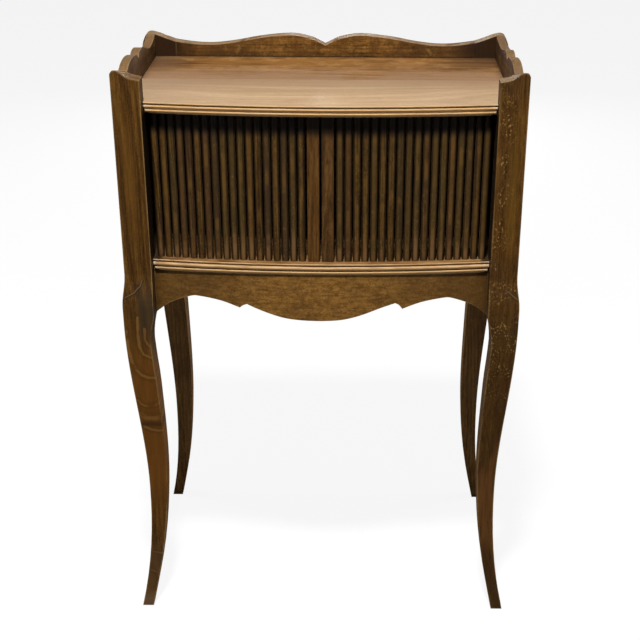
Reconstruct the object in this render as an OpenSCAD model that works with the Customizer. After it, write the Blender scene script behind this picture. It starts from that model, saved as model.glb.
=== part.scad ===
// Bedside table with a bowed front, two tambour doors and a scalloped gallery.
// Four cabriole legs, each one stick from the toe to the head above the top.
// Millimetres, +Z up, origin on the floor under the middle of the table,
// front of the table towards -Y.

/* [Overall] */

// Width over the front posts
width = 450; // [420:1:480]

// Depth over the posts
depth = 262; // [250:1:290]

// Height of the top surface
top_height = 660; // [620:1:700]

// Height of the compartment floor
floor_height = 475.5; // [455:0.5:500]

/* [Legs] */

// Thickness of the square posts
post = 31.5; // [29:0.5:34]

// Width of the back posts beside the gallery
back_post = 36; // [33:0.5:40]

// Set-in of the back posts from the line of the front posts
back_inset = 3.7; // [0:0.1:4]

// Thickness of the leg at the toe
toe = 14; // [12:0.5:18]

// Height of the toe below the taper
toe_block = 31; // [15:1:45]

// Thickness of the leg under the knee
knee = 29.3; // [26:0.1:31]

// Height where the taper ends
taper_top = 318; // [280:1:340]

// Reach of the toe outside the post
toe_flare = 7.1; // [2:0.1:12]

// Depth of the hollow at the ankle
hollow = 9.9; // [5:0.1:14]

// Height of the deepest point of the hollow
ankle_height = 170; // [130:1:200]

// Swell of the knee outside the post
knee_swell = 4.2; // [1:0.1:7]

// Length of the bracket from the leg to the apron
bracket = 37; // [25:1:45]

// Height over which the knee keeps its swell
knee_hold = 14; // [2:0.5:18]

/* [Heads of the posts] */

// Peak of the front heads above the top
head_rise = 37.9; // [35:0.1:44]

// Fall of the front heads from the peak to the inner edge
head_fall = 10.7; // [6:0.1:14]

// Depth of the front heads inside the side gallery
head_depth = 20; // [14:0.5:28]

// Rise of the ears on the back posts above the top
ear_rise = 28.4; // [27:0.1:33]

// Reach of the ears outside the back posts
ear_flare = 5.7; // [3:0.1:8]

/* [Gallery] */

// Peak of the side gallery above the top
side_rise = 36.8; // [30:0.1:42]

// Peak of the back gallery above the top
gallery_rise = 27; // [24:0.1:32]

// Thickness of the back gallery
gallery_thick = 16; // [12:0.5:18]

/* [Boards] */

// Thickness of the top
top_thick = 12.5; // [11:0.5:16]

// Thickness of the compartment floor
floor_thick = 14; // [13:0.5:18]

// Bow of the front edges from the posts to the middle
bow = 13.5; // [9:0.5:18]

// Distance of the glue line in the top from the front
top_seam = 118; // [90:1:160]

// Thickness of the side panels
panel_thick = 10; // [8:0.5:10.5]

// Set-in of the side panels from the outer face of the posts
panel_set = 4; // [4:0.5:6]

// Thickness of the back panel
back_thick = 8; // [6:0.5:12]

// Set-in of the back panel from the back of the posts
back_set = 4; // [3:0.5:8]

// Height of the back panel below the compartment floor
back_drop = 34; // [30:1:60]

// Length over which the ends of the moulded edges are rounded off
end_round = 8; // [4:0.5:10]

// Depth of the rounding from the front edge
end_return = 6; // [5:0.5:6.5]

/* [Apron] */

// Depth of the apron beside the posts
apron_drop = 52.5; // [44:0.5:60]

// Bow of the apron
apron_bow = 14.5; // [10:0.5:15]

// Set-back of the apron at its middle from the front of the posts
apron_set = 3; // [1.5:0.5:4]

// Distance of the apron's flat back from the front of the posts
apron_back = 30; // [30:0.5:36]

/* [Joints] */

// Side clearance between fitted pieces
fit = 0.2; // [0.1:0.05:0.4]

// Length of the tongues on panels and gallery
tongue = 6; // [4:0.5:7]

// Thickness of the tongues
tongue_thick = 5; // [4:0.5:6]

// Length of the tenons on the apron
tenon = 14; // [10:1:16]

// Thickness of the tenons on the apron
tenon_thick = 8; // [6:0.5:8]

/* [Tambour] */

// Reeds in each door
reeds = 18;

// Width of a reed
reed_width = 8.2; // [7.6:0.1:8.3]

// Rise of the rounded face of a reed
reed_rise = 2.8; // [2:0.1:2.9]

// Distance of the last reed's middle from the post
last_reed = 8.05; // [7.5:0.05:9]

// Flat behind the rounded face of a reed
reed_back = 0.5; // [0.4:0.1:0.6]

// Set-back of the reeds from the front edge of the boards
reed_set = 12.5; // [11:0.1:13.5]

// Gap between the reeds' ends and the boards
reed_play = 0.3; // [0.2:0.05:0.6]

// Width of a lead stile
stile = 13.8; // [12:0.1:14]

// Depth of a stile before the line of the track
stile_face = 3.2; // [2.8:0.1:3.5]

// Gap between the closed stiles
stile_gap = 2.4; // [1.5:0.1:3]

// Gap from a stile to its first reed
first_gap = 2.3; // [2:0.05:3]

// Depth of the rib behind the meeting edge of a stile
stile_rib = 4.7; // [3:0.1:5]

// Width of the groove that guides the doors
track_width = 3.2; // [2.8:0.1:4]

// Depth of the groove
track_depth = 3; // [2:0.1:4]

// Radius of the groove at the corners
track_corner = 7; // [5:0.5:9]

// Distance of the side run of the groove from the posts' inner faces
side_run = 5; // [4.5:0.1:6]

// Distance of the end of the groove from the back posts
track_stop = 25; // [15:1:40]

// Clearance of the stile's tongues in the groove
track_play = 0.3; // [0.25:0.05:0.5]

/* [Bearers] */

// Width of the bearers under the floor
bearer = 17; // [14:0.5:20]

// Width of the cleats under the top
cleat = 11; // [9:0.5:13]

// Height of bearers and cleats
bearer_height = 15; // [12:0.5:20]

// Side of the glue blocks behind the apron
glue_block = 16; // [12:1:20]

/* [Hidden] */

$fn = 48;

// curves of large radius
bow_facets = 360;

// small step past a surface that is cut
over = 1;

half = width / 2;
front = -depth / 2;
rear = depth / 2;
post_in = half - post;
back_out = half - back_inset;
back_in = back_out - back_post;
panel_out = half - panel_set;
panel_in = panel_out - panel_thick;
panel_front = front + post;
panel_rear = rear - post;
panel_run = panel_rear - panel_front;

top_under = top_height - top_thick;
floor_under = floor_height - floor_thick;
apron_foot = floor_under - apron_drop;
knee_height = apron_foot - 5;
spring = apron_foot - bracket;

bow_r = (post_in * post_in + bow * bow) / (2 * bow);
bow_y = front + bow_r;
bow_angle = asin(post_in / bow_r) + 1;
apron_r = (post_in * post_in + apron_bow * apron_bow) / (2 * apron_bow);
apron_y = front + apron_set + apron_r;
apron_shoulder = front + apron_back - 2;

track_r = bow_r - reed_set;
side_x = post_in - side_run;
corner_x = side_x - track_corner;
corner_angle = asin(corner_x / (track_r - track_corner));
corner_y = bow_y - (track_r - track_corner) * cos(corner_angle);
reed_height = top_under - floor_height - 2 * reed_play;
stile_x = stile_gap / 2 + stile / 2;
first_x = stile_gap / 2 + stile + first_gap + reed_width / 2;
reed_pitch = (post_in - last_reed - first_x) / (reeds - 1);
back_edge = rear - back_set;

// round bead of a moulding: set-back and drop of its centre, radius, half its sweep
function bead(set, drop, r, sweep) = [
    for (i = [0:6]) let (a = sweep * (1 - i / 3)) [set - r * cos(a), drop - r * sin(a)]
];

// moulded edges from the surface down: set-back from the bow, drop
top_edge = concat(
    [[1.3, 0], [0.8, 0.5], [0.8, 1.2], [1.3, 1.7], [3.2, 2.3]],
    bead(1.5, 4.6, 1.4, 76),
    [[1.7, 6.9]],
    bead(1.8, 9.2, 1.3, 76),
    [[3.2, 10.9], [3.2, top_thick]]
);
floor_edge = concat(
    [[2, 0], [1.5, 0.5], [1.5, 1.3], [2, 1.8], [3.6, 2.5]],
    bead(2.5, 5.5, 2.4, 72),
    [[3.6, 8.2]],
    bead(2.5, 10.4, 1.8, 72),
    [[3.6, 12.6], [3.6, floor_thick]]
);

// outlines: share of the run, share of the rise or drop
apron_lobe = [[1, -0.02], [0.91, 0.235], [0.79, 0.411], [0.73, 0.426], [0.6, 0.338], [0.488, 0.186]];
apron_notch_left = [[0.488, 0.186], [0.47, 0.241], [0.445, 0.277]];
apron_notch_right = [[0.488, 0.186], [0.468, 0.281], [0.445, 0.327]];
apron_middle_left = [[0.445, 0.277], [0.36, 0.135], [0.235, -0.024], [0.12, -0.086], [0, -0.101]];
apron_middle_right = [[0.445, 0.327], [0.36, 0.217], [0.235, 0.034], [0.12, -0.073], [0, -0.101]];
gallery_line = [
    [0, 0.537], [0.05, 0.704], [0.1, 0.852], [0.235, 1], [0.437, 0.863],
    [0.6, 0.66], [0.745, 0.545], [0.87, 0.565], [1, 0.683]
];
side_front = [
    [0, 0.83], [0.06, 0.93], [0.13, 0.985], [0.2, 0.985], [0.269, 0.945], [0.334, 0.87], [0.374, 0.73]
];
side_hump = [[0.374, 0.73], [0.41, 0.855], [0.47, 0.895], [0.535, 0.86], [0.62, 0.755]];
side_rear_left = [
    [0.62, 0.755], [0.706, 0.623], [0.78, 0.56], [0.85, 0.567], [0.91, 0.61], [0.96, 0.68], [1, 0.77]
];
side_rear_right = [
    [0.62, 0.755], [0.706, 0.7], [0.78, 0.693], [0.85, 0.7], [0.91, 0.715], [0.96, 0.738], [1, 0.77]
];
side_foot = [[0, 0], [0.1, 0.229], [0.25, 0.381], [0.4, 0.324], [0.5, 0.248]];

function track_y(x) = bow_y - sqrt(track_r * track_r - x * x);
function ease(t) = t <= 0 ? 0 : t >= 1 ? 1 : t * t * (3 - 2 * t);

// smooth curve through points, each span in n steps
function knot(p, i) = p[max(0, min(len(p) - 1, i))];
function spline(p, n = 4) = concat(
    [for (i = [0:len(p) - 2]) for (j = [0:n - 1])
        let (a = knot(p, i - 1), b = p[i], c = p[i + 1], d = knot(p, i + 2), t = j / n)
        (2 * b + (c - a) * t + (2 * a - 5 * b + 4 * c - d) * t * t
            + (3 * b - a - 3 * c + d) * t * t * t) / 2],
    [p[len(p) - 1]]
);

// outline laid over a run from an end, and over a rise from a base height
function laid(p, from, run, base, rise) = [for (q = p) [from + run * q[0], base + rise * q[1]]];
function turned(p) = [for (i = [len(p) - 1:-1:0]) p[i]];
function flipped(p) = [for (q = p) [-q[0], q[1]]];

// outer line of a leg: offset outside the post at a height
function leg_outer(z) =
    z < ankle_height ?
        (toe_flare + hollow) * pow(1 - z / ankle_height, 2.35) - hollow :
    z < knee_height ?
        (knee_swell + hollow) * ease((z - ankle_height) / (knee_height - ankle_height)) - hollow :
    knee_swell * (1 - ease((z - apron_foot - knee_hold) / (apron_drop - knee_hold)));

function leg_thick(z) =
    toe + (knee - toe) * max(0, min(1, (z - toe_block) / (taper_top - toe_block)));

// inner line of a leg that widens into a post of the given width
function leg_inner(z, w) =
    z <= spring ? leg_outer(z) - leg_thick(z) :
    z >= apron_foot ? -w :
    leg_outer(spring) - leg_thick(spring)
        - (w + leg_outer(spring) - leg_thick(spring)) * pow((z - spring) / bracket, 2);

// heights at which the lines of a leg are taken
leg_heights = concat(
    [for (i = [0:7]) ankle_height * i / 8],
    [for (i = [0:12]) ankle_height + (spring - ankle_height) * i / 13],
    [for (i = [0:4]) spring + bracket * i / 4],
    [for (i = [0:5]) apron_foot + knee_hold + (apron_drop - knee_hold) * i / 5]
);

// heads seen from the front: offset outside the post, height above the top
front_head = [
    [0, head_rise - 4.2], [-1.6, head_rise - 1.4], [-5.5, head_rise], [-10, head_rise - 1.8],
    [-14, head_rise - 4.9], [-20, head_rise - head_fall + 2.3], [-post, head_rise - head_fall]
];
back_head = [
    [0, -12], [ear_flare / 2, -1], [ear_flare - 0.1, 9], [ear_flare, 13], [ear_flare - 0.9, ear_rise - 11],
    [ear_flare - 2, ear_rise - 8], [1.2, ear_rise - 2.5], [-1.8, ear_rise - 0.4], [-5.5, ear_rise],
    [-10, ear_rise - 1], [-16, ear_rise - 3], [-23, ear_rise - 5.7],
    [-back_post, gallery_rise * gallery_line[8][1]]
];

// heads seen from the side: the front ones fall towards the side gallery, the back
// ones fall away behind the back gallery
front_head_side = [
    [0, head_rise + 0.5], [-3, head_rise - 0.4], [-8, head_rise - 2.8], [-14, head_rise - 4.9],
    [-20, head_rise - 6.4], [-26, head_rise - 7.3], [-post, side_rise * side_front[0][1]]
];
back_head_side = [
    [0, 1], [-5, 5], [gallery_thick - post + 3, 10], [gallery_thick - post + 0.4, 17],
    [gallery_thick - post, ear_rise + 0.5], [-post, ear_rise + 1.5]
];

module profile_x(thickness) {
    rotate([90, 0, 0])
        linear_extrude(thickness)
            children();
}

module profile_y(thickness) {
    rotate([90, 0, 90])
        linear_extrude(thickness)
            children();
}

// a leg sawn in two directions, with its outer corner on the Z axis
module leg(w, head, head_side) {
    intersection() {
        translate([0, toe_flare + over, 0])
            profile_x(post + toe_flare + 2 * over)
                polygon(concat(
                    [for (z = leg_heights) [leg_outer(z), z]],
                    [for (q = spline(head, 3)) [q[0], top_height + q[1]]],
                    turned([for (z = leg_heights) [leg_inner(z, w), z]])
                ));
        translate([-w - over, 0, 0])
            profile_y(w + toe_flare + 2 * over)
                polygon(concat(
                    [for (z = leg_heights) [leg_outer(z), z]],
                    [for (q = spline(head_side, 3)) [q[0], top_height + q[1]]],
                    turned([for (z = leg_heights) [leg_inner(z, post), z]])
                ));
    }
}

// a box given by its two corners
module block(a, b) {
    translate(a)
        cube(b - a);
}

// tongue of a side panel, or its groove with clearance c
module side_tongue(y0, y1, c) {
    mid = (panel_in + panel_out) / 2;
    block(
        [mid - tongue_thick / 2 - c, y0, apron_foot + 6 - c],
        [mid + tongue_thick / 2 + c, y1, top_under + c]
    );
}

// tenon of the apron, or its mortise with clearance c
module apron_tenon(c) {
    block(
        [post_in - over, apron_shoulder - tenon_thick - c, apron_foot + 12 - c],
        [post_in + tenon + c, apron_shoulder + c, floor_under - 6 + c]
    );
}

// tongue of the back panel
module back_tongue(c) {
    mid = rear - back_set - back_thick / 2;
    block(
        [back_in - over, mid - tongue_thick / 2 - c, floor_under - back_drop + 6 - c],
        [back_in + tongue + c, mid + tongue_thick / 2 + c, top_under - 6 + c]
    );
}

// tenon of the back gallery
module gallery_tenon(c) {
    mid = panel_rear + gallery_thick / 2;
    block(
        [back_in - over, mid - tongue_thick / 2 - c, top_height + 4 - c],
        [back_in + tongue + c, mid + tongue_thick / 2 + c, top_height + 13 + c]
    );
}

module front_leg_right() {
    color("sienna")
        difference() {
            translate([half, front, 0])
                mirror([0, 1, 0])
                    leg(post, front_head, front_head_side);
            // step that carries the corner of the top
            block(
                [post_in - over, front + head_depth, top_under],
                [panel_in, panel_front + over, top_height + head_rise + over]
            );
            side_tongue(panel_front - tongue - fit, panel_front + over, fit);
            apron_tenon(fit);
        }
}

module front_leg_left() {
    mirror([1, 0, 0])
        front_leg_right();
}

module back_leg_right() {
    color("sienna")
        difference() {
            translate([back_out, rear, 0])
                leg(back_post, back_head, back_head_side);
            side_tongue(panel_rear - over, panel_rear + tongue + fit, fit);
            back_tongue(fit);
            gallery_tenon(fit);
        }
}

module back_leg_left() {
    mirror([1, 0, 0])
        back_leg_right();
}

// plan of a board between posts and panels, stepped at the front posts
module board_plan(step, back) {
    translate([-post_in + fit, front - over])
        square([2 * (post_in - fit), step + 2 * over]);
    translate([-panel_in + fit, front + step + fit])
        square([2 * (panel_in - fit), depth - post - step - 2 * fit]);
    translate([-back_in + fit, panel_rear - fit - over])
        square([2 * (back_in - fit), back - panel_rear + fit + over]);
}

// what a moulding plane takes off a bowed front edge below a surface
module moulding_cut(edge, surface) {
    last = edge[len(edge) - 1];
    far = bow_r + bow + 2;
    translate([0, bow_y, 0])
        rotate([0, 0, -90 - bow_angle])
            rotate_extrude(angle = 2 * bow_angle, $fn = bow_facets)
                polygon(concat(
                    [[far, surface + over], [bow_r - edge[0][0], surface + over]],
                    [for (q = edge) [bow_r - q[0], surface - q[1]]],
                    [[bow_r - last[0], surface - last[1] - over], [far, surface - last[1] - over]]
                ));
}

// what rounds off both ends of a moulded edge of a board of the given thickness
module end_cut(surface, thick) {
    top = surface - 0.2 * thick;
    end = post_in - fit;
    for (side = [0, 1])
        mirror([side, 0, 0])
            translate([0, front + bow + end_return, 0])
                profile_x(end_return + 2 * over)
                    polygon(concat(
                        [[end + over, top], [end, top]],
                        [for (a = [15:15:90])
                            [end - end_round * (1 - cos(a)), top - 0.8 * thick * sin(a)]],
                        [[end - end_round, surface - thick - over], [end + over, surface - thick - over]]
                    ));
}

// one edge of the guide groove, from the middle to the end of the right side run,
// at d outside its centre line
function track_edge(d) = concat(
    [for (i = [0:12]) let (a = corner_angle * i / 12)
        [(track_r + d) * sin(a), bow_y - (track_r + d) * cos(a)]],
    [for (i = [1:6]) let (a = -90 + corner_angle + (90 - corner_angle) * i / 6)
        [corner_x + (track_corner + d) * cos(a), corner_y + (track_corner + d) * sin(a)]],
    [[side_x + d, panel_rear - track_stop]]
);

module track_plan(w) {
    polygon(concat(
        turned(flipped([for (i = [1:19]) track_edge(w / 2)[i]])),
        track_edge(w / 2),
        turned(track_edge(-w / 2)),
        flipped([for (i = [1:19]) track_edge(-w / 2)[i]])
    ));
}

module top_board() {
    difference() {
        translate([0, 0, top_under])
            linear_extrude(top_thick)
                board_plan(head_depth, back_edge);
        moulding_cut(top_edge, top_height);
        end_cut(top_height, top_thick);
        translate([0, 0, top_under - over])
            linear_extrude(track_depth + over)
                track_plan(track_width);
    }
}

module top_front_board() {
    color("peru")
        intersection() {
            top_board();
            block([-half, front - over, 0], [half, front + top_seam, top_height + over]);
        }
}

module top_rear_board() {
    color("chocolate")
        intersection() {
            top_board();
            block([-half, front + top_seam, 0], [half, rear + over, top_height + over]);
        }
}

module floor_board() {
    color("peru")
        difference() {
            translate([0, 0, floor_under])
                linear_extrude(floor_thick)
                    board_plan(post, rear - back_set - back_thick - fit);
            moulding_cut(floor_edge, floor_height);
            end_cut(floor_height, floor_thick);
            translate([0, 0, floor_height - track_depth])
                linear_extrude(track_depth + over)
                    track_plan(track_width);
        }
}

// right side panel with the given line at the rear of its gallery
module side_panel(rear_line) {
    foot = laid(side_foot, panel_front, panel_run, apron_foot, apron_drop);
    foot_back = [for (q = foot) [panel_front + panel_rear - q[0], q[1]]];
    color("saddlebrown") {
        translate([panel_in, 0, 0])
            profile_y(panel_thick)
                polygon(concat(
                    spline(foot),
                    turned(spline(foot_back)),
                    turned(spline(laid(rear_line, panel_front, panel_run, top_height, side_rise))),
                    turned(spline(laid(side_hump, panel_front, panel_run, top_height, side_rise))),
                    turned(spline(laid(side_front, panel_front, panel_run, top_height, side_rise)))
                ));
        side_tongue(panel_front - tongue, panel_front + over, 0);
        side_tongue(panel_rear - over, panel_rear + tongue, 0);
    }
}

module side_panel_right() {
    side_panel(side_rear_right);
}

module side_panel_left() {
    mirror([1, 0, 0])
        side_panel(side_rear_left);
}

module back_gallery() {
    line = spline(laid(gallery_line, 0, back_in - fit, top_height, gallery_rise));
    color("saddlebrown") {
        translate([0, panel_rear + gallery_thick, 0])
            profile_x(gallery_thick)
                polygon(concat(
                    [[-back_in + fit, top_height], [back_in - fit, top_height]],
                    turned(line),
                    flipped(line)
                ));
        for (side = [0, 1])
            mirror([side, 0, 0])
                gallery_tenon(0);
    }
}

module back_panel() {
    color("burlywood") {
        block(
            [-back_in + fit, rear - back_set - back_thick, floor_under - back_drop],
            [back_in - fit, rear - back_set, top_under]
        );
        for (side = [0, 1])
            mirror([side, 0, 0])
                back_tongue(0);
    }
}

// lower edge of one half of the apron, from the post to the middle
function apron_line(notch, middle) = concat(
    spline(laid(apron_lobe, 0, post_in, apron_foot, apron_drop)),
    spline(laid(notch, 0, post_in, apron_foot, apron_drop)),
    spline(laid(middle, 0, post_in, apron_foot, apron_drop))
);

module front_apron() {
    color("sienna") {
        intersection() {
            translate([0, front + apron_back, 0])
                profile_x(apron_back)
                    polygon(concat(
                        [[-post_in, floor_under], [post_in, floor_under]],
                        apron_line(apron_notch_right, apron_middle_right),
                        turned(flipped(apron_line(apron_notch_left, apron_middle_left)))
                    ));
            translate([0, apron_y, apron_foot - 2 * apron_drop])
                linear_extrude(4 * apron_drop)
                    circle(apron_r, $fn = 2 * bow_facets);
        }
        for (side = [0, 1])
            mirror([side, 0, 0])
                apron_tenon(0);
    }
}

// a bearer or cleat on a side panel, its top at z
module side_bar(w, z) {
    block(
        [panel_in - w, panel_front + 5, z - bearer_height],
        [panel_in, panel_rear - 5, z]
    );
}

module floor_bearer_right() {
    color("tan")
        side_bar(bearer, floor_under);
}

module floor_bearer_left() {
    mirror([1, 0, 0])
        floor_bearer_right();
}

module top_cleat_right() {
    color("tan")
        side_bar(cleat, top_under);
}

module top_cleat_left() {
    mirror([1, 0, 0])
        top_cleat_right();
}

module floor_bearer_back() {
    y = rear - back_set - back_thick;
    color("tan")
        block(
            [-back_in + 12, y - bearer, floor_under - bearer_height],
            [back_in - 12, y, floor_under]
        );
}

module glue_blocks() {
    color("tan")
        for (x = [-0.75, -0.25, 0.25, 0.75])
            translate([x * post_in - glue_block / 2, front + apron_back, floor_under - glue_block])
                cube(glue_block);
}

// section of a reed, round face towards -Y, on a flat strip
module reed_section() {
    r = (reed_width * reed_width / 4 + reed_rise * reed_rise) / (2 * reed_rise);
    intersection() {
        translate([0, r - reed_rise])
            circle(r, $fn = 60);
        translate([-reed_width / 2, -reed_rise - over])
            square([reed_width, reed_rise + over + reed_back]);
    }
}

// place on the bowed track at a distance from the middle, turned square to it
module on_track(x) {
    translate([x, track_y(x), floor_height + reed_play])
        rotate([0, 0, asin(x / track_r)])
            children();
}

// reed k of the right door, counted from the stile
module reed(k) {
    on_track(first_x + k * reed_pitch)
        linear_extrude(reed_height)
            reed_section();
}

module reed_right(n) {
    color(n % 2 == 0 ? "sienna" : "saddlebrown")
        reed(n - 1);
}

module reed_left(n) {
    mirror([1, 0, 0])
        reed_right(n);
}

// section of a lead stile: a flat bar with eased edges and a rib at the meeting edge
module stile_section() {
    ease_r = 1.6;
    for (x = [-stile / 2 + ease_r, stile / 2 - ease_r])
        translate([x, ease_r - stile_face])
            circle(ease_r, $fn = 24);
    translate([-stile / 2 + ease_r, -stile_face])
        square([stile - 2 * ease_r, stile_face + reed_back]);
    translate([-stile / 2, ease_r - stile_face])
        square([stile, stile_face + reed_back - ease_r]);
    translate([-stile / 2, 0])
        square([0.42 * stile, stile_rib]);
}

// tongue of a stile at the meeting edge, in plan
module stile_tongue() {
    w = track_width - 2 * track_play;
    translate([-stile / 2 + 1, -w / 2])
        square([0.3 * stile, w]);
}

module lead_stile_right() {
    long = track_depth - 0.5;
    color("peru")
        on_track(stile_x) {
            linear_extrude(reed_height)
                stile_section();
            translate([0, 0, -reed_play - long])
                linear_extrude(reed_height + 2 * reed_play + 2 * long)
                    stile_tongue();
        }
}

module lead_stile_left() {
    mirror([1, 0, 0])
        lead_stile_right();
}

front_leg_left();
front_leg_right();
back_leg_left();
back_leg_right();
top_front_board();
top_rear_board();
floor_board();
side_panel_left();
side_panel_right();
back_gallery();
back_panel();
front_apron();
floor_bearer_left();
floor_bearer_right();
floor_bearer_back();
top_cleat_left();
top_cleat_right();
glue_blocks();
lead_stile_left();
lead_stile_right();
reed_left(1);  // reed_left_01
reed_left(2);  // reed_left_02
reed_left(3);  // reed_left_03
reed_left(4);  // reed_left_04
reed_left(5);  // reed_left_05
reed_left(6);  // reed_left_06
reed_left(7);  // reed_left_07
reed_left(8);  // reed_left_08
reed_left(9);  // reed_left_09
reed_left(10);  // reed_left_10
reed_left(11);  // reed_left_11
reed_left(12);  // reed_left_12
reed_left(13);  // reed_left_13
reed_left(14);  // reed_left_14
reed_left(15);  // reed_left_15
reed_left(16);  // reed_left_16
reed_left(17);  // reed_left_17
reed_left(18);  // reed_left_18
reed_right(1);  // reed_right_01
reed_right(2);  // reed_right_02
reed_right(3);  // reed_right_03
reed_right(4);  // reed_right_04
reed_right(5);  // reed_right_05
reed_right(6);  // reed_right_06
reed_right(7);  // reed_right_07
reed_right(8);  // reed_right_08
reed_right(9);  // reed_right_09
reed_right(10);  // reed_right_10
reed_right(11);  // reed_right_11
reed_right(12);  // reed_right_12
reed_right(13);  // reed_right_13
reed_right(14);  // reed_right_14
reed_right(15);  // reed_right_15
reed_right(16);  // reed_right_16
reed_right(17);  // reed_right_17
reed_right(18);  // reed_right_18
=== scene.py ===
import math

import bmesh
import bpy
from mathutils import Matrix, Vector


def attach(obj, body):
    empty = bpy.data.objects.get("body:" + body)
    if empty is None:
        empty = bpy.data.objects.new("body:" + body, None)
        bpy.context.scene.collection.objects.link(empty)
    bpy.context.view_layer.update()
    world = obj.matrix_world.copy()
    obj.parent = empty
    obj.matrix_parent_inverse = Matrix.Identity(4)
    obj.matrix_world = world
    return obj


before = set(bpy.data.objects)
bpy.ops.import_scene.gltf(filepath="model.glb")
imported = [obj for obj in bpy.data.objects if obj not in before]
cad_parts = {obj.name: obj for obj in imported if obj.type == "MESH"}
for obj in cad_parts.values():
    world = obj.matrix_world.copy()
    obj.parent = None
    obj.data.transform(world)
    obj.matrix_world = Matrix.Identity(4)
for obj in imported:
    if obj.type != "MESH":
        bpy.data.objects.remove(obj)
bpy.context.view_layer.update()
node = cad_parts

# ---------------------------------------------------------------------------
# Camera. It stands in front of the table, a little right of its middle, at
# about head height, and looks down on the top at 25 degrees.
# ---------------------------------------------------------------------------
eye = (0.04103, -1.44841, 1.02144)
pitch, roll, yaw = math.radians(25.006), math.radians(0.233), math.radians(-0.585)
looking = Vector((math.sin(yaw) * math.cos(pitch), math.cos(yaw) * math.cos(pitch), -math.sin(pitch)))
level = Vector((math.cos(yaw), -math.sin(yaw), 0))
below = looking.cross(level)
right = level * math.cos(roll) - below * math.sin(roll)
down = below * math.cos(roll) + level * math.sin(roll)

lens = bpy.data.cameras.new("camera")
lens.sensor_width = 36
lens.lens = 70.33
lens.shift_x = -0.0384
camera = bpy.data.objects.new("camera", lens)
bpy.context.scene.collection.objects.link(camera)
camera.matrix_world = Matrix.Translation(eye) @ Matrix((
    (right.x, -down.x, -looking.x, 0),
    (right.y, -down.y, -looking.y, 0),
    (right.z, -down.z, -looking.z, 0),
    (0, 0, 0, 1),
))
bpy.context.scene.camera = camera

# ---------------------------------------------------------------------------
# Studio. A white paper floor, a white surround for the camera, one soft lamp
# high in front of the table, weak ones low all round, and a faint fill.
# ---------------------------------------------------------------------------
bpy.context.scene.view_settings.view_transform = "Standard"

white = (1, 1, 1, 1)
fill_strength = 0.07
glow_share = 0.88                             # of the paper's white, as the camera sees it
paper_as_lit = (0.10, 0.10, 0.10, 1)          # little light goes back up under the table
paper_as_seen = (0.75, 0.75, 0.75, 1)
middle_of_table = Vector((0, 0, 0.45))

surround = bpy.data.worlds.new("surround")
bpy.context.scene.world = surround
surround.use_nodes = True
sky = surround.node_tree
sky.nodes.clear()
seen = sky.nodes.new("ShaderNodeBackground")
seen.inputs["Strength"].default_value = 1.0
seen.inputs["Color"].default_value = white
fill = sky.nodes.new("ShaderNodeBackground")
fill.inputs["Strength"].default_value = fill_strength
fill.inputs["Color"].default_value = white
ray = sky.nodes.new("ShaderNodeLightPath")
either = sky.nodes.new("ShaderNodeMixShader")
sky.links.new(ray.outputs["Is Camera Ray"], either.inputs[0])
sky.links.new(fill.outputs[0], either.inputs[1])
sky.links.new(seen.outputs[0], either.inputs[2])
sky.links.new(either.outputs[0], sky.nodes.new("ShaderNodeOutputWorld").inputs[0])

for name, place, size, power in (
        ("key", (-0.08, -1.08, 2.72), 0.24, 98),
        ("left_rim", (-1.9, 0.35, 0.65), 0.9, 20),
        ("right_rim", (1.9, 0.35, 0.65), 0.9, 20),
        ("back", (0.0, 2.4, 0.7), 0.5, 20),
        ("left_low", (-1.9, -1.9, 0.45), 0.9, 5),
        ("right_low", (1.9, -1.9, 0.45), 0.9, 5)):
    lamp = bpy.data.lights.new(name, "AREA")
    lamp.shape = "DISK"
    lamp.size = size
    lamp.energy = power
    stand = bpy.data.objects.new(name, lamp)
    bpy.context.scene.collection.objects.link(stand)
    stand.location = place
    stand.rotation_mode = "QUATERNION"
    stand.rotation_quaternion = (middle_of_table - stand.location).to_track_quat("-Z", "Y")

floor_mesh = bpy.data.meshes.new("floor")
floor_mesh.from_pydata([(-6, -6, 0), (6, -6, 0), (6, 6, 0), (-6, 6, 0)], [], [(0, 1, 2, 3)])
floor = bpy.data.objects.new("floor", floor_mesh)
bpy.context.scene.collection.objects.link(floor)
paper = bpy.data.materials.new("paper")
paper.use_nodes = True
sheet = paper.node_tree
sheet.nodes.clear()
path = sheet.nodes.new("ShaderNodeLightPath")
pale = sheet.nodes.new("ShaderNodeMix")
pale.data_type = "RGBA"
pale.inputs[6].default_value = paper_as_lit
pale.inputs[7].default_value = paper_as_seen
matt = sheet.nodes.new("ShaderNodeBsdfDiffuse")
glow = sheet.nodes.new("ShaderNodeEmission")
glow.inputs["Color"].default_value = white
glow.inputs["Strength"].default_value = 1.0
glowing = sheet.nodes.new("ShaderNodeMath")
glowing.operation = "MULTIPLY"
glowing.inputs[1].default_value = glow_share
both = sheet.nodes.new("ShaderNodeMixShader")
sheet.links.new(path.outputs["Is Camera Ray"], pale.inputs[0])
sheet.links.new(path.outputs["Is Camera Ray"], glowing.inputs[0])
sheet.links.new(pale.outputs[2], matt.inputs["Color"])
sheet.links.new(glowing.outputs[0], both.inputs[0])
sheet.links.new(matt.outputs[0], both.inputs[1])
sheet.links.new(glow.outputs[0], both.inputs[2])
sheet.links.new(both.outputs[0], sheet.nodes.new("ShaderNodeOutputMaterial").inputs[0])
floor_mesh.materials.append(paper)

# ---------------------------------------------------------------------------
# Legs. Four cabriole legs of old stained wood, each sawn in two directions from
# one stick that runs on as the corner post; the arrises are worn round, the hollows
# hold wax and dust and are darkened with painted shade, and a short line is carved over each front knee.
# ---------------------------------------------------------------------------


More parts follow.
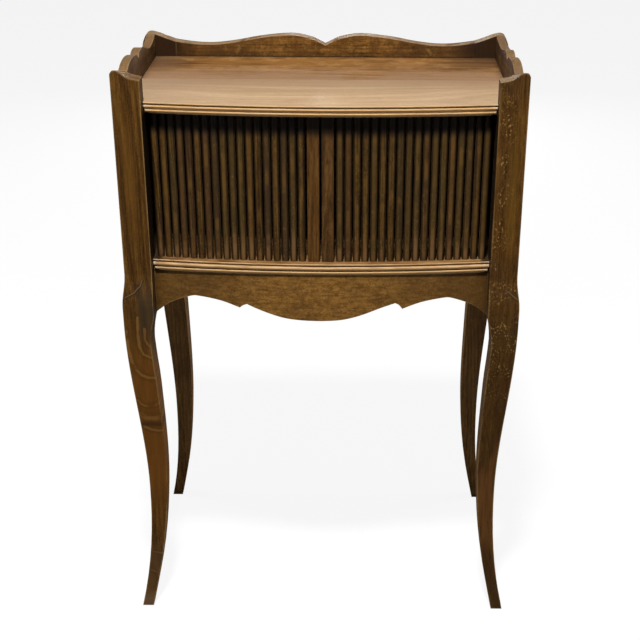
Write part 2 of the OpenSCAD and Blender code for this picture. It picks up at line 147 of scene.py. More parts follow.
class Value:
    """A number that changes over a surface; sums with it make the material's nodes."""

    def __init__(self, tree, socket):
        self.tree = tree
        self.socket = socket

    def node(self, operation, *operands):
        n = self.tree.nodes.new("ShaderNodeMath")
        n.operation = operation
        for i, v in enumerate(operands):
            if isinstance(v, Value):
                self.tree.links.new(v.socket, n.inputs[i])
            else:
                n.inputs[i].default_value = v
        return Value(self.tree, n.outputs[0])

    def __add__(self, other):
        return self.node("ADD", self, other)

    def __sub__(self, other):
        return self.node("SUBTRACT", self, other)

    def __mul__(self, other):
        return self.node("MULTIPLY", self, other)

    def __truediv__(self, other):
        return self.node("DIVIDE", self, other)

    def size(self):
        return self.node("ABSOLUTE", self)

    def root(self):
        return self.node("SQRT", self)

    def whole(self):
        return self.node("ROUND", self)

    def between(self, low, high):
        return self.node("MINIMUM", self.node("MAXIMUM", self, low), high)

    def rise(self, start, end):
        """0 at start, 1 at end, smooth between them; start may be the larger."""
        n = self.tree.nodes.new("ShaderNodeMapRange")
        n.interpolation_type = "SMOOTHSTEP"
        falling = start > end
        n.inputs["From Min"].default_value = min(start, end)
        n.inputs["From Max"].default_value = max(start, end)
        n.inputs["To Min"].default_value = 1.0 if falling else 0.0
        n.inputs["To Max"].default_value = 0.0 if falling else 1.0
        self.tree.links.new(self.socket, n.inputs["Value"])
        return Value(self.tree, n.outputs["Result"])

    def near(self, place, reach):
        """1 at a place, 0 beyond its reach."""
        return (self - place).size().rise(reach, 0.0)


class Wood:
    """A material in the making: places on the wood, its noises and its colours."""

    def __init__(self, name, grain):
        self.material = bpy.data.materials.new(name)
        self.material.use_nodes = True
        self.tree = self.material.node_tree
        self.tree.nodes.clear()
        self.where = self.add("TexCoord").outputs["Object"]
        place = self.add("SeparateXYZ", (0, self.where))
        self.x, self.y, self.z = (Value(self.tree, s) for s in place.outputs)
        self.along, self.across, self.deep = {
            "x": (self.x, self.y, self.z),
            "y": (self.y, self.z, self.x),
            "z": (self.z, self.x, self.y),
        }[grain]
        facing = self.add("SeparateXYZ", (0, self.add("NewGeometry").outputs["Normal"]))
        self.facing_x, self.facing_y, self.facing_z = (Value(self.tree, s) for s in facing.outputs)
        self.facing_up = self.facing_z.rise(0.25, 0.65)

    def add(self, kind, *links, **values):
        n = self.tree.nodes.new("ShaderNode" + kind)
        for k, v in values.items():
            if k.startswith("in_"):
                n.inputs[k[3:]].default_value = v
            else:
                setattr(n, k, v)
        for socket, source in links:
            self.tree.links.new(source.socket if isinstance(source, Value) else source, n.inputs[socket])
        return n

    def noise_at(self, place, detail, rough, scale=1.0):
        n = self.add("TexNoise", ("Vector", place), in_Scale=scale, in_Detail=detail, in_Roughness=rough)
        return Value(self.tree, n.outputs["Fac"])

    def noise(self, scale, detail=2.0, rough=0.5):
        return self.noise_at(self.where, detail, rough, scale)

    def streaks(self, along, across, detail=2.0, rough=0.6):
        """Noise drawn out along the grain; the numbers are cells per metre."""
        at = self.add("CombineXYZ", (0, self.along * along), (1, self.across * across),
                      (2, self.deep * across))
        return self.noise_at(at.outputs[0], detail, rough)

    def chance(self, number):
        n = self.add("TexWhiteNoise", ("W", number), noise_dimensions="1D")
        return Value(self.tree, n.outputs["Value"])

    def mix(self, share, under, over):
        n = self.add("Mix", data_type="RGBA")
        for i, v in ((0, share), (6, under), (7, over)):
            if isinstance(v, Value):
                self.tree.links.new(v.socket, n.inputs[i])
            elif isinstance(v, tuple):
                n.inputs[i].default_value = (*v, 1)
            else:
                self.tree.links.new(v, n.inputs[i])
        return n.outputs[2]

    def colours(self, source, *stops):
        n = self.add("ValToRGB", (0, source))
        ramp = n.color_ramp.elements
        ramp.remove(ramp[-1])
        for i, (at, colour) in enumerate(stops):
            stop = ramp[0] if i == 0 else ramp.new(at)
            stop.position = at
            stop.color = (*colour, 1)
        return n.outputs[0]

    def off_line(self, points):
        """The distance from a broken line drawn on the front of the table."""
        least = None
        for (ax, az), (bx, bz) in zip(points, points[1:]):
            run, climb = bx - ax, bz - az
            square = run * run + climb * climb
            u, v = self.x - ax, self.z - az
            share = (u * (run / square) + v * (climb / square)).between(0.0, 1.0)
            u, v = u - share * run, v - share * climb
            off = (u * u + v * v).root()
            least = off.node("MINIMUM", least, off) if least else off
        return least


def shade(colour, share):
    return tuple(share * c for c in colour)


def walnut(name, grain, dark, mid, light, heart, tilt, ring, worn=(0.30, 0.19, 0.085), figure=0.9,
           streak=0.7, mottle=0.7, fine=0.5, grit=0.5, wash=0.5, rub=0.7, arris=0.0022, dust_and_corner_shade=0.75,
           rough=0.46, marks=None):
    """Old stained wood. heart is the place of the middle of the tree across the grain,
    tilt the slope of the fibres, ring the rings per metre; the rest are strengths."""
    w = Wood(name, grain)
    # the growth rings, bent a little along the board
    bend = 0.016
    drift = w.streaks(5, 13) - 0.5
    wander = w.streaks(2.2, 5, 1) - 0.5
    u = w.across - heart[0] + w.along * tilt + drift * bend
    v = w.deep - heart[1] - w.along * (0.6 * tilt) + wander * (3 * bend)
    year = w.add("TexNoise", ("W", (u * u + v * v).root() * ring), noise_dimensions="1D", in_Scale=1.0,
                 in_Detail=2.0, in_Roughness=0.6)
    rings = Value(w.tree, year.outputs["Fac"])
    # fibres, open pores and the uneven take of the stain
    fibre = w.streaks(26, 900, 3)
    pores = w.streaks(70, 1500, 2).rise(0.62, 0.70)
    cloud = w.noise(17.0, 4, 0.62)
    stains = cloud.rise(0.56, 0.34)
    specks = w.noise(420.0).rise(0.70, 0.76)
    tone = ((rings - 0.5) * figure + (w.streaks(5, 240, 3) - 0.5) * streak
            + (w.streaks(75, 330) - 0.5) * mottle + (fibre - 0.5) * fine
            + (w.noise(520.0, 3, 0.7) - 0.5) * grit + 0.5)
    body = w.colours(tone, (0.24, dark), (0.50, mid), (0.76, light))
    body = w.mix(pores * 0.45, body, shade(dark, 0.5))
    body = w.mix(stains * wash, body, shade(dark, 0.8))
    body = w.mix(specks * 0.4, body, shade(light, 1.3))
    if marks:
        body = marks(w, body)
    # rubbed arrises, then the corners darkened: dust and old wax, and painted shade
    eased = w.add("Bevel", in_Radius=arris, samples=4)
    turn = w.add("VectorMath", (0, eased.outputs[0]), (1, w.add("NewGeometry").outputs["Normal"]),
                 operation="DOT_PRODUCT")
    edge = Value(w.tree, turn.outputs["Value"]).rise(0.985, 0.80)
    body = w.mix(edge * cloud.rise(0.32, 0.60) * rub, body, worn)
    corner = Value(w.tree, w.add("AmbientOcclusion", in_Distance=0.014, samples=6).outputs["AO"])
    body = w.mix(corner.rise(0.85, 0.30) * dust_and_corner_shade, body, shade(dark, 0.3))
    # a thin old polish, sunk into the pores
    relief = fibre * 0.35 + rings * 0.25 - pores * 0.5
    bump = w.add("Bump", ("Height", relief), in_Strength=0.35, in_Distance=0.0006)
    skin = w.add("BsdfPrincipled", ("Base Color", body), ("Normal", bump.outputs[0]),
                 ("Roughness", fibre * 0.14 + stains * 0.12 + rough))
    skin.inputs["Specular IOR Level"].default_value = 0.2
    w.add("OutputMaterial", (0, skin.outputs[0]))
    return w.material


def finish_with(name, material, ease=0.0, segments=2):
    """Gives a node its wood, smooth curves and eased arrises."""
    o = node[name]
    o.data.materials.clear()
    o.data.materials.append(material)
    for f in o.data.polygons:
        f.use_smooth = True
    o.data.set_sharp_from_angle(angle=math.radians(32))
    if ease:
        b = o.modifiers.new("arris", "BEVEL")
        b.width = ease
        b.segments = segments
        b.limit_method = "ANGLE"
        b.angle_limit = math.radians(40)
        b.harden_normals = True


def worn_crown(w, body, amount=0.8):
    """Hands have rubbed pale what looks up from the heads of the posts."""
    crown = w.facing_up * w.z.rise(0.664, 0.672) * w.noise(60.0, 3).rise(0.32, 0.50)
    body = w.mix(crown * amount, body, (0.20, 0.135, 0.075))
    grime = crown * w.noise(110.0, 4, 0.65).rise(0.50, 0.62)
    return w.mix(grime * 0.5, body, (0.075, 0.040, 0.018))


def mouth_shade(w, body):
    """The posts are painted black inside the opening, where the doors run: painted shade."""
    mouth = w.x.size().rise(0.1955, 0.1945) * w.facing_x.size().rise(0.6, 0.9) * w.z.rise(0.470, 0.478)
    return w.mix(mouth * w.z.rise(0.650, 0.645) * 0.9, body, (0.008, 0.003, 0.0006))


def carved_line(w, body, *points):
    """A shallow cut over the knee, drawn in colour only: a painted highlight on its upper lip and painted
    shade at its foot.
    """
    foot_shade = w.off_line([(x, z - 0.0006) for x, z in points]).rise(0.0026, 0.0008)
    body = w.mix(foot_shade * 0.6, body, (0.018, 0.007, 0.001))
    lip_highlight = w.off_line(points).rise(0.0010, 0.0003)
    return w.mix(lip_highlight * 0.5, body, (0.19, 0.125, 0.06))


def left_leg_marks(w, body):
    """The left leg is orange below the knee, with the flames of the growth rings in it."""
    body = mouth_shade(w, worn_crown(w, body, 0.45))
    # warm down the middle of the post; the inner side of the shin painted pale, a painted light
    middle = (w.x + 0.211).size().rise(0.010, 0.002) * w.z.near(0.57, 0.10)
    body = w.mix(middle * 0.45, body, (0.125, 0.052, 0.006))
    lit_inner_side = w.facing_x.rise(0.45, 0.85) * w.z.rise(0.455, 0.44)
    body = w.mix(lit_inner_side * 0.6, body, (0.17, 0.085, 0.024))
    # orange below the knee, most along the outer edge
    shin = w.z.rise(0.405, 0.330) * w.z.rise(0.10, 0.20)
    body = w.mix(shin * 0.7, body, (0.165, 0.058, 0.005))
    from_edge = w.x + 0.2255
    outer_edge = w.z.rise(0.425, 0.375) * from_edge.rise(0.013, 0.001)
    body = w.mix(outer_edge * 0.5, body, (0.150, 0.058, 0.006))
    # a grey inner half of the knee, a dark bar, and a dull foot with a pale toe
    grey_knee = from_edge.rise(0.010, 0.018) * w.z.near(0.415, 0.060)
    body = w.mix(grey_knee * 0.75, body, (0.042, 0.027, 0.012))
    body = w.mix(w.z.near(0.2625, 0.0065) * 0.7, body, (0.036, 0.014, 0.002))
    body = w.mix(w.z.rise(0.110, 0.060) * 0.60, body, (0.064, 0.034, 0.013))
    body = w.mix(w.z.rise(0.022, 0.008) * 0.5, body, (0.14, 0.085, 0.045))
    # flames where the saw cut the growth rings, their tips downward: width, strength, line
    waver = (w.noise(110.0, 2) - 0.5) * 0.0022
    faded = w.noise(70.0, 2).rise(0.28, 0.50)
    for width, strength, line in (
            (0.0020, 0.50, ((-0.2054, 0.3954), (-0.2058, 0.3816), (-0.2030, 0.3738), (-0.1990, 0.3714))),
            (0.0021, 0.60, ((-0.2130, 0.4097), (-0.2140, 0.3878), (-0.2131, 0.3712), (-0.2087, 0.3611),
                            (-0.1990, 0.3565))),
            (0.0026, 0.65, ((-0.2272, 0.3914), (-0.2263, 0.3692), (-0.2239, 0.3525), (-0.2190, 0.3398),
                            (-0.2131, 0.3327), (-0.2058, 0.3294), (-0.1960, 0.3289))),
            (0.0020, 0.60, ((-0.2205, 0.2974), (-0.2170, 0.2917), (-0.2108, 0.2885), (-0.2018, 0.2895),
                            (-0.1951, 0.2936), (-0.1900, 0.3007))),
            (0.0044, 0.55, ((-0.2190, 0.2765), (-0.2119, 0.2716), (-0.2016, 0.2711), (-0.1900, 0.2740))),
            (0.0022, 0.60, ((-0.2160, 0.2590), (-0.2077, 0.2547), (-0.1988, 0.2530), (-0.1900, 0.2538))),
            (0.0016, 0.30, ((-0.2160, 0.0748), (-0.2030, 0.0726))),
            (0.0016, 0.25, ((-0.2195, 0.0488), (-0.2070, 0.0433)))):
        off = w.off_line(line) + waver
        body = w.mix(off.rise(3.2 * width, 1.2 * width) * (0.45 * strength), body, (0.048, 0.020, 0.003))
        body = w.mix(off.rise(width, 0.3 * width) * faded * strength, body, (0.230, 0.112, 0.024))
    return carved_line(w, body, (-0.2254, 0.4346), (-0.2199, 0.4376), (-0.2150, 0.4402), (-0.2114, 0.4446),
                       (-0.2078, 0.4478), (-0.2051, 0.4556))


def right_leg_marks(w, body):
    """The right leg is darker, and flecked where the finish has chipped."""
    body = mouth_shade(w, worn_crown(w, body, 0.7))
    # warm down the middle of the post; the inner side of the shin painted a lighter brown, a painted light
    middle = (w.x - 0.213).size().rise(0.010, 0.001) * w.z.near(0.56, 0.11)
    body = w.mix(middle * 0.5, body, (0.140, 0.066, 0.006))
    lit_inner_side = w.facing_x.rise(-0.45, -0.85) * w.z.rise(0.455, 0.44)
    body = w.mix(lit_inner_side * 0.5, body, (0.12, 0.055, 0.014))
    # a red patch, a dark knee, a streaked shin and a dark foot
    red = w.z.near(0.313, 0.03) * w.x.near(0.219, 0.012)
    body = w.mix(red * 0.5, body, (0.11, 0.030, 0.006))
    body = w.mix(w.z.rise(0.470, 0.430) * 0.45, body, (0.036, 0.016, 0.003))
    shin = w.z.rise(0.27, 0.20) * w.z.rise(0.06, 0.12) * w.streaks(9, 110).rise(0.42, 0.58)
    body = w.mix(shin * 0.6, body, (0.150, 0.058, 0.014))
    body = w.mix(w.z.rise(0.110, 0.060) * 0.45, body, (0.030, 0.012, 0.002))
    # pale flecks with dark pits beside them, down the inner half and all over the knee
    knee = w.z.rise(0.480, 0.450) * w.z.rise(0.290, 0.330)
    band = (w.x + (w.noise(9.0) - 0.5) * 0.03).near(0.203, 0.016) * w.z.rise(0.30, 0.36)
    band = band.node("MAXIMUM", band, knee * 0.9)
    flecks = w.streaks(330, 560, 1).rise(0.60, 0.68) * w.noise(30.0, 2).rise(0.40, 0.54)
    body = w.mix(flecks * band, body, (0.30, 0.175, 0.05))
    pits = w.streaks(300, 520, 1).rise(0.36, 0.30)
    body = w.mix(pits * band * 0.8, body, (0.022, 0.008, 0.001))
    return carved_line(w, body, (0.2126, 0.4461), (0.2173, 0.4432), (0.2221, 0.4391), (0.2260, 0.4356))


def back_leg_marks(w, body):
    """The faces inside the gallery are black with handling; the rest is paler, partly faded and partly
    painted light.
    """
    ear = w.facing_y.rise(-0.6, -0.9) * w.z.rise(0.655, 0.662)
    return worn_crown(w, w.mix(ear * 0.95, body, (0.018, 0.0065, 0.0014)))


leg_ease = 0.0012
bare_arris = (0.34, 0.200, 0.070)
front_leg = dict(dark=(0.030, 0.011, 0.0010), mid=(0.080, 0.032, 0.0030), light=(0.145, 0.065, 0.009),
                 worn=bare_arris, arris=0.0032, rub=0.9, figure=0.6, streak=0.6, fine=0.8, wash=0.3)
left_leg_wood = walnut("leg_wood_left", "z", **front_leg, heart=(-0.235, -0.19), tilt=0.01, ring=260,
                       mottle=0.35, marks=left_leg_marks)
right_leg_wood = walnut("leg_wood_right", "z", **front_leg, heart=(0.19, -0.20), tilt=-0.01, ring=300,
                        mottle=0.5, marks=right_leg_marks)
# the back legs are painted paler than the front ones: partly faded wood, partly painted light where the
# carcass shades them
back_leg_wood = walnut("leg_wood_back", "z", (0.075, 0.032, 0.006), (0.175, 0.082, 0.019),
                       (0.27, 0.140, 0.040), heart=(0.0, 0.20), tilt=0.02, ring=300, worn=bare_arris,
                       figure=0.6, mottle=0.4, wash=0.4, rub=0.3, marks=back_leg_marks)
finish_with("front_leg_left", left_leg_wood, leg_ease)
finish_with("front_leg_right", right_leg_wood, leg_ease)
finish_with("back_leg_left", back_leg_wood, leg_ease)
finish_with("back_leg_right", back_leg_wood, leg_ease)

# ---------------------------------------------------------------------------
# Side panels and back gallery. Thin boards with fretted upper edges, tongued
# into the posts; hands have rubbed the top edges pale.
# ---------------------------------------------------------------------------


def side_marks(w, body):
    """Above the top the fretted edges and inner faces are dark with handling."""
    above_top = w.z.rise(0.655, 0.665)
    facing_front = w.facing_y.rise(-0.5, -0.8)
    body = w.mix(facing_front * above_top * 0.8, body, (0.020, 0.0075, 0.0020))
    outer_skin = facing_front * w.x.size().rise(0.2195, 0.2215)
    body = w.mix(outer_skin * 0.6, body, (0.17, 0.11, 0.055))
    grime = w.facing_x.size().rise(0.5, 0.9) * above_top * w.noise(48.0, 4, 0.65).rise(0.38, 0.56)
    body = w.mix(grime * 0.55, body, (0.040, 0.016, 0.0035))
    rubbed = w.facing_up * w.z.rise(0.656, 0.664) * w.noise(60.0, 3).rise(0.30, 0.46)
    return w.mix(rubbed * 0.65, body, (0.165, 0.100, 0.048))


def gallery_marks(w, body):
    """A knot at the right, dark ends and corners, cross ripple, a pale edge along the top."""
    stand = w.add("CombineXYZ", (0, w.x * 300), (1, w.z * 45))
    ripple = w.noise_at(stand.outputs[0], 2.0, 0.5).rise(0.50, 0.66)
    body = w.mix(ripple * 0.25, body, (0.055, 0.021, 0.003))
    body = w.mix(w.noise(65.0, 4, 0.65).rise(0.47, 0.60) * 0.60, body, (0.072, 0.028, 0.0045))
    bright = w.noise(95.0, 3, 0.6).rise(0.58, 0.68) * w.x.size().rise(0.17, 0.12)
    body = w.mix(bright * 0.45, body, (0.28, 0.145, 0.036))
    body = w.mix(w.x.rise(-0.02, -0.16) * 0.30, body, (0.070, 0.032, 0.008))
    ends = (w.x.size() + (w.noise(60.0, 3) - 0.5) * 0.03).rise(0.150, 0.184)
    body = w.mix(ends * 0.85, body, (0.026, 0.0095, 0.0018))
    # the knot, the two corners and two stains: place, height, reach, strength
    for x, z, reach, strength in (
            (0.111, 0.6725, 0.007, 0.75), (-0.188, 0.672, 0.016, 0.7), (0.188, 0.672, 0.016, 0.7),
            (0.045, 0.661, 0.012, 0.5), (-0.10, 0.668, 0.010, 0.35)):
        u, v = w.x - x, (w.z - z) * 1.6
        spot = ((u * u + v * v).root() + (w.noise(90.0, 3) - 0.5) * 0.010).rise(reach, 0.2 * reach)
        body = w.mix(spot * strength, body, (0.022, 0.008, 0.0012))
    # the black joint over the top board, then the rubbed edge with its dark back
    joint = (w.z + w.x.near(0.052, 0.014) * -0.0010).rise(0.6616, 0.6606)
    body = w.mix(joint * w.noise(80.0, 2).rise(0.30, 0.42) * 0.85, body, (0.006, 0.003, 0.001))
    rubbed = w.facing_up * w.z.rise(0.662, 0.668) * w.noise(70.0, 3).rise(0.30, 0.48)
    body = w.mix(rubbed * 0.8, body, (0.24, 0.15, 0.075))
    return w.mix(rubbed * w.y.rise(0.1115, 0.1135) * 0.8, body, (0.05, 0.022, 0.006))


thin_ease = 0.0010
side_wood = walnut("side_wood", "y", (0.034, 0.014, 0.003), (0.100, 0.046, 0.011), (0.18, 0.094, 0.031),
                   heart=(0.60, 0.30), tilt=0.03, ring=260, marks=side_marks)
gallery_wood = walnut("gallery_wood", "x", (0.060, 0.024, 0.004), (0.165, 0.072, 0.012), (0.27, 0.130, 0.034),
                      heart=(0.14, 0.72), tilt=0.02, ring=220, figure=0.35, streak=0.3, grit=0.9,
                      wash=0.65, rub=0.3, marks=gallery_marks)
finish_with("side_panel_left", side_wood, thin_ease)
finish_with("side_panel_right", side_wood, thin_ease)
finish_with("back_gallery", gallery_wood, thin_ease)

# ---------------------------------------------------------------------------
# Top. Two boards glued edge to edge, the front one bowed and moulded. Sun and
# use have bleached the front board, whose pale colour also holds a painted sheen;
# the rear one has kept its brown.
# ---------------------------------------------------------------------------


def moulding_marks(w, body, low, high, *lit_grooves):
    """Beads with whitish ends, their upper sides painted pale and streaked: a painted highlight and rubbing.
    low and high are the colours of their under and upper sides; the remaining arguments are the heights
    and reaches of the grooves, painted pale as painted light where the beads shade them."""
    edge = w.facing_z.rise(0.97, 0.85)
    body = w.mix(edge * 0.85, body, low)
    # upper sides of the beads painted pale and streaked: a painted highlight, with rubbing
    upper = edge * w.facing_z.rise(0.0, 0.5) * w.streaks(30, 500, 3).rise(0.36, 0.60)
    body = w.mix(upper * 0.8, body, high)
    # grooves painted pale: painted light where the beads shade them
    for z, reach in lit_grooves:
        body = w.mix(edge * w.z.near(z, reach), body, (0.66, 0.42, 0.18))
    tip = w.x.size().rise(0.182, 0.192) * edge * w.noise(200.0, 2).rise(0.38, 0.56)
    return w.mix(tip * 0.6, body, (0.42, 0.34, 0.25))


def front_board_marks(w, body):
    """Fine brown streaks, darker towards the glue line and at the left."""
    body = w.mix(w.streaks(6, 620).rise(0.54, 0.64) * 0.20, body, (0.22, 0.14, 0.080))
    rear_half = (w.y + w.noise(16.0) * 0.02).rise(-0.085, 0.005)
    body = w.mix(rear_half * 0.75, body, (0.225, 0.135, 0.075))
    body = w.mix(w.x.rise(-0.10, -0.20) * 0.40, body, (0.27, 0.18, 0.11))
    body = w.mix(w.streaks(40, 300).rise(0.60, 0.68) * 0.22, body, (0.19, 0.115, 0.060))
    return moulding_marks(w, body, (0.34, 0.180, 0.060), (0.54, 0.33, 0.14),
                          (0.6530, 0.0018), (0.6490, 0.0018))


def rear_board_marks(w, body):
    """Greyish pink by the glue line, orange towards the back, dark figure at both ends."""
    middle = w.y.rise(0.060, 0.0) * w.noise(9.0, 3).rise(0.30, 0.55)
    body = w.mix(middle * 0.65, body, (0.250, 0.150, 0.088))
    back = (w.y + (w.noise(14.0, 3) - 0.5) * 0.05).rise(0.030, 0.075) * w.x.size().rise(0.24, 0.14)
    body = w.mix(back * 0.6, body, (0.21, 0.088, 0.016))
    figure = w.streaks(16, 70, 4, 0.65).rise(0.48, 0.64) * w.y.rise(0.0, 0.04)
    body = w.mix(figure * 0.70, body, (0.110, 0.047, 0.011))
    bright = w.noise(38.0, 4, 0.65).rise(0.50, 0.62) * w.y.rise(0.01, 0.05)
    body = w.mix(bright * 0.35, body, (0.34, 0.19, 0.075))
    ends = w.x.size().rise(0.11, 0.17) * w.streaks(7, 130, 3).rise(0.42, 0.60) * w.y.rise(0.02, 0.06)
    body = w.mix(ends * 0.85, body, (0.062, 0.026, 0.008))
    right_corner = w.x.rise(0.12, 0.19) * w.y.rise(0.035, 0.060)
    body = w.mix(right_corner * 0.6, body, (0.075, 0.036, 0.014))
    left_corner = w.x.rise(-0.16, -0.20) * w.y.rise(0.000, 0.060)
    body = w.mix(left_corner * 0.6, body, (0.105, 0.058, 0.030))
    scratch = w.x.near(0.025, 0.006) * (w.y + w.noise(200.0) * 0.004).near(0.0465, 0.0016)
    return w.mix(scratch * 0.8, body, (0.40, 0.26, 0.09))


board_ease = 0.0003
# the front board's pale colours are bleached wood together with a painted sheen of its polish
front_wood = walnut("top_wood_front", "x", (0.30, 0.195, 0.110), (0.375, 0.252, 0.145), (0.45, 0.31, 0.185),
                    heart=(-0.10, 0.50), tilt=0.02, ring=420, figure=0.6, streak=0.6, mottle=0.25, fine=0.6,
                    wash=0.05, rub=0.2, dust_and_corner_shade=0.0, rough=0.42, marks=front_board_marks)
rear_wood = walnut("top_wood_rear", "x", (0.105, 0.046, 0.013), (0.205, 0.100, 0.034), (0.32, 0.175, 0.075),
                   heart=(0.10, 0.48), tilt=0.03, ring=150, figure=0.6, streak=0.5, mottle=0.4, wash=0.2,
                   rub=0.3, rough=0.42, marks=rear_board_marks)
finish_with("top_front_board", front_wood, board_ease, 1)
finish_with("top_rear_board", rear_wood, board_ease, 1)

# ---------------------------------------------------------------------------
# Floor of the compartment. One board with the same bow and a deeper moulding,
# pale along its beads, partly worn and partly painted light; the ledge before the doors is darker.
# ---------------------------------------------------------------------------


def floor_marks(w, body):
    """The ledge is painted black where it runs in behind the posts: painted shade."""
    shaded_ledge_ends = w.facing_z.rise(0.85, 0.95) * w.x.size().rise(0.181, 0.187)
    body = w.mix(shaded_ledge_ends * 0.9, body, (0.012, 0.005, 0.001))
    return moulding_marks(w, body, (0.34, 0.185, 0.070), (0.55, 0.36, 0.18),
                          (0.4672, 0.0020), (0.4628, 0.0022))


floor_wood = walnut("floor_wood", "x", (0.090, 0.040, 0.010), (0.190, 0.092, 0.028), (0.29, 0.16, 0.06),
                    heart=(-0.11, 0.30), tilt=0.02, ring=380, wash=0.25, rub=0.2, dust_and_corner_shade=0.0, marks=floor_marks)
finish_with("floor_board", floor_wood, board_ease, 1)

# ---------------------------------------------------------------------------
# Apron. A bowed rail with a scalloped lower edge, tenoned between the front
# legs; the middle is paler and the ends darker, partly rubbing and partly painted light and shade on the bow.
# ---------------------------------------------------------------------------


def apron_marks(w, body):
    """Brown to both ends and ochre in the middle, partly rubbing and partly painted light and shade of the
    bow; finely mottled all over.
    """
    body = w.mix((w.x - 0.01).size().rise(0.05, 0.15) * 0.60, body, (0.076, 0.035, 0.007))
    body = w.mix(w.x.rise(0.11, 0.20) * 0.30, body, (0.060, 0.028, 0.006))
    # the ochre middle: rubbing, and painted light on the bow
    rubbed = w.noise(62.0, 4, 0.65).rise(0.48, 0.64) * w.x.size().rise(0.15, 0.03)
    body = w.mix(rubbed * 0.60, body, (0.29, 0.136, 0.022))
    body = w.mix(w.streaks(60, 210, 3).rise(0.50, 0.62) * 0.35, body, (0.085, 0.038, 0.006))
    return w.mix(w.noise(170.0, 4, 0.7).rise(0.49, 0.60) * 0.45, body, (0.080, 0.034, 0.005))


apron_wood = walnut("apron_wood", "x", (0.125, 0.055, 0.010), (0.235, 0.107, 0.020), (0.33, 0.165, 0.042),
                    heart=(-0.16, 0.46), tilt=0.02, ring=180, figure=0.3, streak=0.3, mottle=0.9, grit=1.2,
                    wash=0.4, marks=apron_marks)
finish_with("front_apron", apron_wood, 0.0008)

# ---------------------------------------------------------------------------
# Tambour doors. Each has a flat lead stile and eighteen half-round reeds, set
# by hand and each of its own shade; their lower ends are rubbed to bare wood.
# ---------------------------------------------------------------------------
reed_pitch = 0.00965


def shadow_under_top(w, body):
    """The heads of the doors are painted black where they run up behind the moulding: a painted shadow of the
    top.
    """
    return w.mix(w.z.rise(0.619, 0.630) * 0.9, body, (0.004, 0.002, 0.0004))


def reed_marks(w, body):
    """Each reed takes its shade from its number, counted from the middle of the doors."""
    number = (w.x / reed_pitch).whole()
    body = w.mix(w.chance(number).rise(0.66, 0.70) * 0.40, body, (0.100, 0.044, 0.008))
    body = w.mix(w.chance(number + 50.0).rise(0.40, 0.36) * 0.40, body, (0.044, 0.030, 0.008))
    body = w.mix(w.chance(number + 90.0).rise(0.70, 0.74) * 0.35, body, (0.040, 0.017, 0.009))
    # a painted highlight here and there on the crests, bare wood at their feet
    crest = w.facing_y.rise(-0.80, -0.97)
    down_reed = w.add("CombineXYZ", (0, number * 3.7), (1, w.z * 26))
    crest_highlight = w.noise_at(down_reed.outputs[0], 3.0, 0.5).rise(0.50, 0.66)
    body = w.mix(crest_highlight * crest * 0.55, body, (0.140, 0.066, 0.012))
    height = w.z + (w.noise(70.0, 3) - 0.5) * 0.06 + w.chance(number + 7.0) * 0.045
    body = w.mix(height.rise(0.524, 0.488) * crest * 0.65, body, (0.200, 0.098, 0.036))
    body = w.mix(w.streaks(260, 700, 1).rise(0.67, 0.72) * 0.5, body, (0.20, 0.13, 0.06))
    # painted shade on the flanks of the reeds and between them
    body = w.mix(w.facing_y.rise(-0.94, -0.64) * 0.85, body, (0.010, 0.0040, 0.0006))
    return shadow_under_top(w, body)


def stile_marks(w, body):
    """The left stile is a warmer brown than the right one."""
    warm = w.colours(w.streaks(14, 420, 3), (0.36, (0.062, 0.024, 0.004)), (0.50, (0.115, 0.047, 0.008)),
                     (0.64, (0.170, 0.078, 0.016)))
    body = w.mix(w.x.rise(0.002, -0.002) * 0.8, body, warm)
    body = w.mix(w.streaks(90, 700, 2).rise(0.54, 0.62) * 0.65, body, (0.034, 0.012, 0.002))
    return shadow_under_top(w, body)


reed_wood = walnut("reed_wood", "z", (0.030, 0.012, 0.0014), (0.068, 0.032, 0.0042), (0.122, 0.062, 0.011),
                   heart=(0.0, -0.10), tilt=0.01, ring=500, streak=1.0, grit=1.2, wash=0.3, marks=reed_marks)
stile_wood = walnut("stile_wood", "z", (0.034, 0.015, 0.003), (0.070, 0.031, 0.007), (0.125, 0.058, 0.015),
                    heart=(0.02, -0.11), tilt=0.02, ring=420, wash=0.25, rough=0.40, marks=stile_marks)
for side in ("left", "right"):
    finish_with("lead_stile_" + side, stile_wood, 0.0004)
    for i in range(1, 19):
        finish_with("reed_%s_%02d" % (side, i), reed_wood)

# ---------------------------------------------------------------------------
# Back panel, bearers, cleats and glue blocks. Plain sawn secondary wood that
# was never stained, nailed and glued where nobody looks.
# ---------------------------------------------------------------------------
bare_wood = walnut("bare_wood", "x", (0.15, 0.085, 0.036), (0.25, 0.150, 0.068), (0.34, 0.215, 0.105),
                   heart=(0.15, 0.30), tilt=0.02, ring=120, streak=0.4, wash=0.35, rough=0.62)
for name in ("back_panel", "floor_bearer_back", "floor_bearer_left", "floor_bearer_right", "top_cleat_left",
             "top_cleat_right", "glue_blocks"):
    finish_with(name, bare_wood, 0.0005, 1)

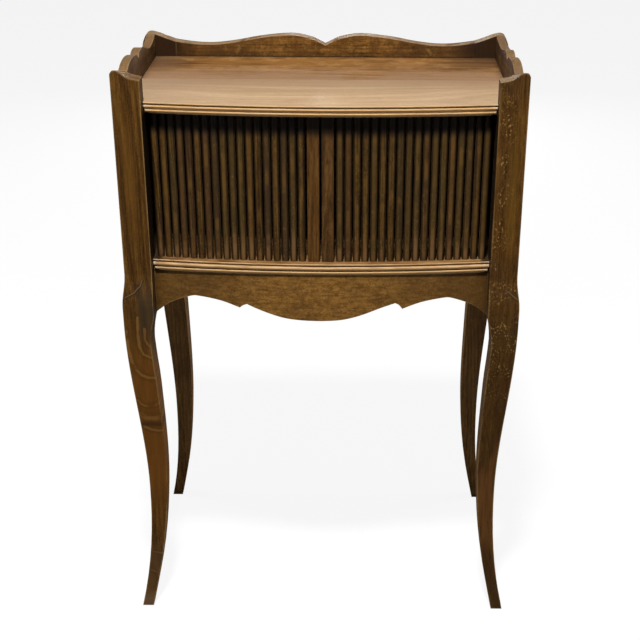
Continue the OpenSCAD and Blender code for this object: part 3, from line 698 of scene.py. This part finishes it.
# ---------------------------------------------------------------------------
# Screws. Three slotted iron screws come up through each cleat and hold the top;
# their domed heads sit under it.
# ---------------------------------------------------------------------------
cleat_middle = 0.2055                         # from the middle of the table
screw_places = (-0.060, 0.008, 0.076)         # along the cleat
head_profile = ((0.0034, 0.6327), (0.0035, 0.6324), (0.0032, 0.6320), (0.0022, 0.6317), (0.0, 0.6316))
slot_half, slot_lip, slot_bottom = 0.0004, 0.0005, 0.6323

iron = Wood("screw_iron", "z")
rust = iron.noise(900.0, 4, 0.6)
metal = iron.add("BsdfPrincipled", ("Roughness", rust * 0.4 + 0.25), in_Metallic=0.9)
iron.tree.links.new(iron.mix(rust.rise(0.42, 0.62), (0.14, 0.13, 0.125), (0.11, 0.045, 0.018)),
                    metal.inputs["Base Color"])
iron.add("OutputMaterial", (0, metal.outputs[0]))


def screw_head(turned):
    """A domed head turned on a lathe, with a sawn slot across it."""
    b = bmesh.new()
    row = [b.verts.new((r, 0, z)) for r, z in head_profile]
    run = [b.edges.new(pair) for pair in zip(row, row[1:])]
    bmesh.ops.spin(b, geom=row + run, cent=(0, 0, 0), axis=(0, 0, 1), angle=math.tau, steps=28)
    bmesh.ops.remove_doubles(b, verts=b.verts, dist=1e-6)
    for cut in (-slot_lip, -slot_half, slot_half, slot_lip):
        bmesh.ops.bisect_plane(b, geom=b.verts[:] + b.edges[:] + b.faces[:], plane_co=(0, cut, 0),
                               plane_no=(0, 1, 0))
    for v in b.verts:
        if abs(v.co.y) < slot_half + 0.00001 and v.co.z < slot_bottom:
            v.co.z = slot_bottom
    bmesh.ops.rotate(b, cent=(0, 0, 0), matrix=Matrix.Rotation(turned, 3, "Z"), verts=b.verts)
    return b


for side, name in ((-1, "left"), (1, "right")):
    for i, y in enumerate(screw_places):
        b = screw_head(0.6 + 1.3 * i + side)
        bmesh.ops.translate(b, vec=(side * cleat_middle, y, 0), verts=b.verts)
        bmesh.ops.recalc_face_normals(b, faces=b.faces)
        screw = bpy.data.meshes.new("cleat_screw")
        b.to_mesh(screw)
        b.free()
        screw.materials.append(iron.material)
        o = bpy.data.objects.new("cleat_screw_%s_%d" % (name, i + 1), screw)
        bpy.context.scene.collection.objects.link(o)
        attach(o, "cabinet")
